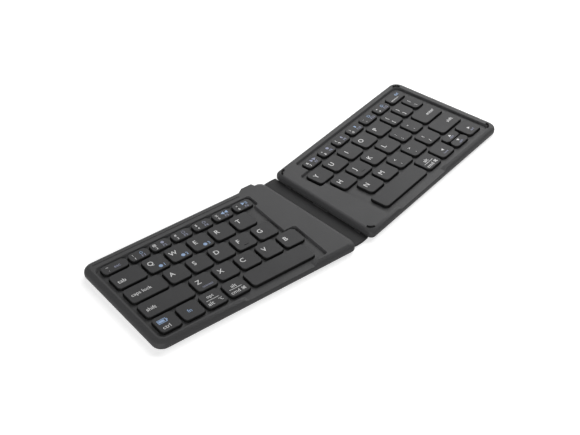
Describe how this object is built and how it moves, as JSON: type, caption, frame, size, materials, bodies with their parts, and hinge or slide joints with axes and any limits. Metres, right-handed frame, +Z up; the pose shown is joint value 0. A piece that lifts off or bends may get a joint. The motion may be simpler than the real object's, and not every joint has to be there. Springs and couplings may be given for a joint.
{
  "type": "folding keyboard",
  "caption": "Thin folding keyboard, open flat: two mirrored halves with island keys, joined by a two-axis hinge spine so that the halves close like a book.",
  "frame": {"origin": "centre of the open keyboard's plan box, on the table under its feet", "axes": "+X across the hinge towards the right half, +Y along the hinge towards the back edges, +Z up"},
  "size_m": [0.3338, 0.1132, 0.0079],
  "materials": {
    "shell": "fine matte texture",
    "keycap": "smooth matte",
    "spine": "soft matte",
    "rubber": "matte rubber",
    "steel": "plain sheet and wire",
    "nickel": "nickel plated",
    "membrane": "clear printed film",
    "silicone": "translucent silicone",
    "pouch": "foil pouch",
    "board": "solder mask",
    "flex": "polyimide film"
  },
  "bodies": {
    "left_half": {"left_base_shell": "shell", "left_top_cover": "shell", "left_key_plate": "steel", "left_membrane": "membrane", "left_domes": "silicone", "battery": "pouch", "control_board": "board", "charging_socket": "steel", "left_magnets": "nickel", "left_feet": "rubber"},
    "spine": {"hinge_spine": "spine", "hinge_pins": "steel", "flex_cable": "flex"},
    "right_half": {"right_base_shell": "shell", "right_top_cover": "shell", "right_key_plate": "steel", "right_membrane": "membrane", "right_domes": "silicone", "right_magnets": "nickel", "right_feet": "rubber", "corner_bumpers": "rubber"},
    "key_escape": {"key_escape": "keycap"},
    "keys_numbers_left": {"keys_numbers_left": "keycap"},
    "key_tab": {"key_tab": "keycap"},
    "key_q": {"key_q": "keycap"},
    "key_w": {"key_w": "keycap"},
    "key_e": {"key_e": "keycap"},
    "key_r": {"key_r": "keycap"},
    "key_t": {"key_t": "keycap"},
    "key_caps_lock": {"key_caps_lock": "keycap"},
    "key_a": {"key_a": "keycap"},
    "key_s": {"key_s": "keycap"},
    "key_d": {"key_d": "keycap"},
    "key_f": {"key_f": "keycap"},
    "key_g": {"key_g": "keycap"},
    "key_shift_left": {"key_shift_left": "keycap"},
    "key_z": {"key_z": "keycap"},
    "key_x": {"key_x": "keycap"},
    "key_c": {"key_c": "keycap"},
    "key_v": {"key_v": "keycap"},
    "key_b": {"key_b": "keycap"},
    "keys_modifiers_left": {"keys_modifiers_left": "keycap"},
    "key_space_left": {"key_space_left": "keycap"},
    "keys_numbers_right": {"keys_numbers_right": "keycap"},
    "key_p": {"key_p": "keycap"},
    "key_o": {"key_o": "keycap"},
    "key_i": {"key_i": "keycap"},
    "key_u": {"key_u": "keycap"},
    "key_y": {"key_y": "keycap"},
    "keys_punctuation": {"keys_punctuation": "keycap"},
    "key_l": {"key_l": "keycap"},
    "key_k": {"key_k": "keycap"},
    "key_j": {"key_j": "keycap"},
    "key_h": {"key_h": "keycap"},
    "key_enter": {"key_enter": "keycap"},
    "key_m": {"key_m": "keycap"},
    "key_n": {"key_n": "keycap"},
    "key_shift_right": {"key_shift_right": "keycap"},
    "keys_arrows": {"keys_arrows": "keycap"},
    "key_space_right": {"key_space_right": "keycap"}
  },
  "joints": [
    {"name": "left_hinge", "type": "hinge", "parent": "left_half", "child": "spine", "pos_m": [-0.00645, 0, 0.0012], "axis": [0, -1, 0], "range_deg": [0, 90], "deforming": ["flex_cable"]},
    {"name": "right_hinge", "type": "hinge", "parent": "spine", "child": "right_half", "pos_m": [0.00645, 0, 0.0012], "axis": [0, -1, 0], "range_deg": [0, 90], "deforming": ["flex_cable"]},
    {"name": "press_key_escape", "type": "slide", "parent": "left_half", "child": "key_escape", "axis": [0, 0, -1], "range_m": [0, 0.0015], "stiffness_N_per_m": 300, "springref_m": -0.001, "deforming": ["left_domes"]},
    {"name": "press_keys_numbers_left", "type": "slide", "parent": "left_half", "child": "keys_numbers_left", "axis": [0, 0, -1], "range_m": [0, 0.0015], "stiffness_N_per_m": 300, "springref_m": -0.001, "deforming": ["left_domes"]},
    {"name": "press_key_tab", "type": "slide", "parent": "left_half", "child": "key_tab", "axis": [0, 0, -1], "range_m": [0, 0.0015], "stiffness_N_per_m": 300, "springref_m": -0.001, "deforming": ["left_domes"]},
    {"name": "press_key_q", "type": "slide", "parent": "left_half", "child": "key_q", "axis": [0, 0, -1], "range_m": [0, 0.0015], "stiffness_N_per_m": 300, "springref_m": -0.001, "deforming": ["left_domes"]},
    {"name": "press_key_w", "type": "slide", "parent": "left_half", "child": "key_w", "axis": [0, 0, -1], "range_m": [0, 0.0015], "stiffness_N_per_m": 300, "springref_m": -0.001, "deforming": ["left_domes"]},
    {"name": "press_key_e", "type": "slide", "parent": "left_half", "child": "key_e", "axis": [0, 0, -1], "range_m": [0, 0.0015], "stiffness_N_per_m": 300, "springref_m": -0.001, "deforming": ["left_domes"]},
    {"name": "press_key_r", "type": "slide", "parent": "left_half", "child": "key_r", "axis": [0, 0, -1], "range_m": [0, 0.0015], "stiffness_N_per_m": 300, "springref_m": -0.001, "deforming": ["left_domes"]},
    {"name": "press_key_t", "type": "slide", "parent": "left_half", "child": "key_t", "axis": [0, 0, -1], "range_m": [0, 0.0015], "stiffness_N_per_m": 300, "springref_m": -0.001, "deforming": ["left_domes"]},
    {"name": "press_key_caps_lock", "type": "slide", "parent": "left_half", "child": "key_caps_lock", "axis": [0, 0, -1], "range_m": [0, 0.0015], "stiffness_N_per_m": 300, "springref_m": -0.001, "deforming": ["left_domes"]},
    {"name": "press_key_a", "type": "slide", "parent": "left_half", "child": "key_a", "axis": [0, 0, -1], "range_m": [0, 0.0015], "stiffness_N_per_m": 300, "springref_m": -0.001, "deforming": ["left_domes"]},
    {"name": "press_key_s", "type": "slide", "parent": "left_half", "child": "key_s", "axis": [0, 0, -1], "range_m": [0, 0.0015], "stiffness_N_per_m": 300, "springref_m": -0.001, "deforming": ["left_domes"]},
    {"name": "press_key_d", "type": "slide", "parent": "left_half", "child": "key_d", "axis": [0, 0, -1], "range_m": [0, 0.0015], "stiffness_N_per_m": 300, "springref_m": -0.001, "deforming": ["left_domes"]},
    {"name": "press_key_f", "type": "slide", "parent": "left_half", "child": "key_f", "axis": [0, 0, -1], "range_m": [0, 0.0015], "stiffness_N_per_m": 300, "springref_m": -0.001, "deforming": ["left_domes"]},
    {"name": "press_key_g", "type": "slide", "parent": "left_half", "child": "key_g", "axis": [0, 0, -1], "range_m": [0, 0.0015], "stiffness_N_per_m": 300, "springref_m": -0.001, "deforming": ["left_domes"]},
    {"name": "press_key_shift_left", "type": "slide", "parent": "left_half", "child": "key_shift_left", "axis": [0, 0, -1], "range_m": [0, 0.0015], "stiffness_N_per_m": 300, "springref_m": -0.001, "deforming": ["left_domes"]},
    {"name": "press_key_z", "type": "slide", "parent": "left_half", "child": "key_z", "axis": [0, 0, -1], "range_m": [0, 0.0015], "stiffness_N_per_m": 300, "springref_m": -0.001, "deforming": ["left_domes"]},
    {"name": "press_key_x", "type": "slide", "parent": "left_half", "child": "key_x", "axis": [0, 0, -1], "range_m": [0, 0.0015], "stiffness_N_per_m": 300, "springref_m": -0.001, "deforming": ["left_domes"]},
    {"name": "press_key_c", "type": "slide", "parent": "left_half", "child": "key_c", "axis": [0, 0, -1], "range_m": [0, 0.0015], "stiffness_N_per_m": 300, "springref_m": -0.001, "deforming": ["left_domes"]},
    {"name": "press_key_v", "type": "slide", "parent": "left_half", "child": "key_v", "axis": [0, 0, -1], "range_m": [0, 0.0015], "stiffness_N_per_m": 300, "springref_m": -0.001, "deforming": ["left_domes"]},
    {"name": "press_key_b", "type": "slide", "parent": "left_half", "child": "key_b", "axis": [0, 0, -1], "range_m": [0, 0.0015], "stiffness_N_per_m": 300, "springref_m": -0.001, "deforming": ["left_domes"]},
    {"name": "press_keys_modifiers_left", "type": "slide", "parent": "left_half", "child": "keys_modifiers_left", "axis": [0, 0, -1], "range_m": [0, 0.0015], "stiffness_N_per_m": 300, "springref_m": -0.001, "deforming": ["left_domes"]},
    {"name": "press_key_space_left", "type": "slide", "parent": "left_half", "child": "key_space_left", "axis": [0, 0, -1], "range_m": [0, 0.0015], "stiffness_N_per_m": 300, "springref_m": -0.001, "deforming": ["left_domes"]},
    {"name": "press_keys_numbers_right", "type": "slide", "parent": "right_half", "child": "keys_numbers_right", "axis": [0, 0, -1], "range_m": [0, 0.0015], "stiffness_N_per_m": 300, "springref_m": -0.001, "deforming": ["right_domes"]},
    {"name": "press_key_p", "type": "slide", "parent": "right_half", "child": "key_p", "axis": [0, 0, -1], "range_m": [0, 0.0015], "stiffness_N_per_m": 300, "springref_m": -0.001, "deforming": ["right_domes"]},
    {"name": "press_key_o", "type": "slide", "parent": "right_half", "child": "key_o", "axis": [0, 0, -1], "range_m": [0, 0.0015], "stiffness_N_per_m": 300, "springref_m": -0.001, "deforming": ["right_domes"]},
    {"name": "press_key_i", "type": "slide", "parent": "right_half", "child": "key_i", "axis": [0, 0, -1], "range_m": [0, 0.0015], "stiffness_N_per_m": 300, "springref_m": -0.001, "deforming": ["right_domes"]},
    {"name": "press_key_u", "type": "slide", "parent": "right_half", "child": "key_u", "axis": [0, 0, -1], "range_m": [0, 0.0015], "stiffness_N_per_m": 300, "springref_m": -0.001, "deforming": ["right_domes"]},
    {"name": "press_key_y", "type": "slide", "parent": "right_half", "child": "key_y", "axis": [0, 0, -1], "range_m": [0, 0.0015], "stiffness_N_per_m": 300, "springref_m": -0.001, "deforming": ["right_domes"]},
    {"name": "press_keys_punctuation", "type": "slide", "parent": "right_half", "child": "keys_punctuation", "axis": [0, 0, -1], "range_m": [0, 0.0015], "stiffness_N_per_m": 300, "springref_m": -0.001, "deforming": ["right_domes"]},
    {"name": "press_key_l", "type": "slide", "parent": "right_half", "child": "key_l", "axis": [0, 0, -1], "range_m": [0, 0.0015], "stiffness_N_per_m": 300, "springref_m": -0.001, "deforming": ["right_domes"]},
    {"name": "press_key_k", "type": "slide", "parent": "right_half", "child": "key_k", "axis": [0, 0, -1], "range_m": [0, 0.0015], "stiffness_N_per_m": 300, "springref_m": -0.001, "deforming": ["right_domes"]},
    {"name": "press_key_j", "type": "slide", "parent": "right_half", "child": "key_j", "axis": [0, 0, -1], "range_m": [0, 0.0015], "stiffness_N_per_m": 300, "springref_m": -0.001, "deforming": ["right_domes"]},
    {"name": "press_key_h", "type": "slide", "parent": "right_half", "child": "key_h", "axis": [0, 0, -1], "range_m": [0, 0.0015], "stiffness_N_per_m": 300, "springref_m": -0.001, "deforming": ["right_domes"]},
    {"name": "press_key_enter", "type": "slide", "parent": "right_half", "child": "key_enter", "axis": [0, 0, -1], "range_m": [0, 0.0015], "stiffness_N_per_m": 300, "springref_m": -0.001, "deforming": ["right_domes"]},
    {"name": "press_key_m", "type": "slide", "parent": "right_half", "child": "key_m", "axis": [0, 0, -1], "range_m": [0, 0.0015], "stiffness_N_per_m": 300, "springref_m": -0.001, "deforming": ["right_domes"]},
    {"name": "press_key_n", "type": "slide", "parent": "right_half", "child": "key_n", "axis": [0, 0, -1], "range_m": [0, 0.0015], "stiffness_N_per_m": 300, "springref_m": -0.001, "deforming": ["right_domes"]},
    {"name": "press_key_shift_right", "type": "slide", "parent": "right_half", "child": "key_shift_right", "axis": [0, 0, -1], "range_m": [0, 0.0015], "stiffness_N_per_m": 300, "springref_m": -0.001, "deforming": ["right_domes"]},
    {"name": "press_keys_arrows", "type": "slide", "parent": "right_half", "child": "keys_arrows", "axis": [0, 0, -1], "range_m": [0, 0.0015], "stiffness_N_per_m": 300, "springref_m": -0.001, "deforming": ["right_domes"]},
    {"name": "press_key_space_right", "type": "slide", "parent": "right_half", "child": "key_space_right", "axis": [0, 0, -1], "range_m": [0, 0.0015], "stiffness_N_per_m": 300, "springref_m": -0.001, "deforming": ["right_domes"]}
  ]
}
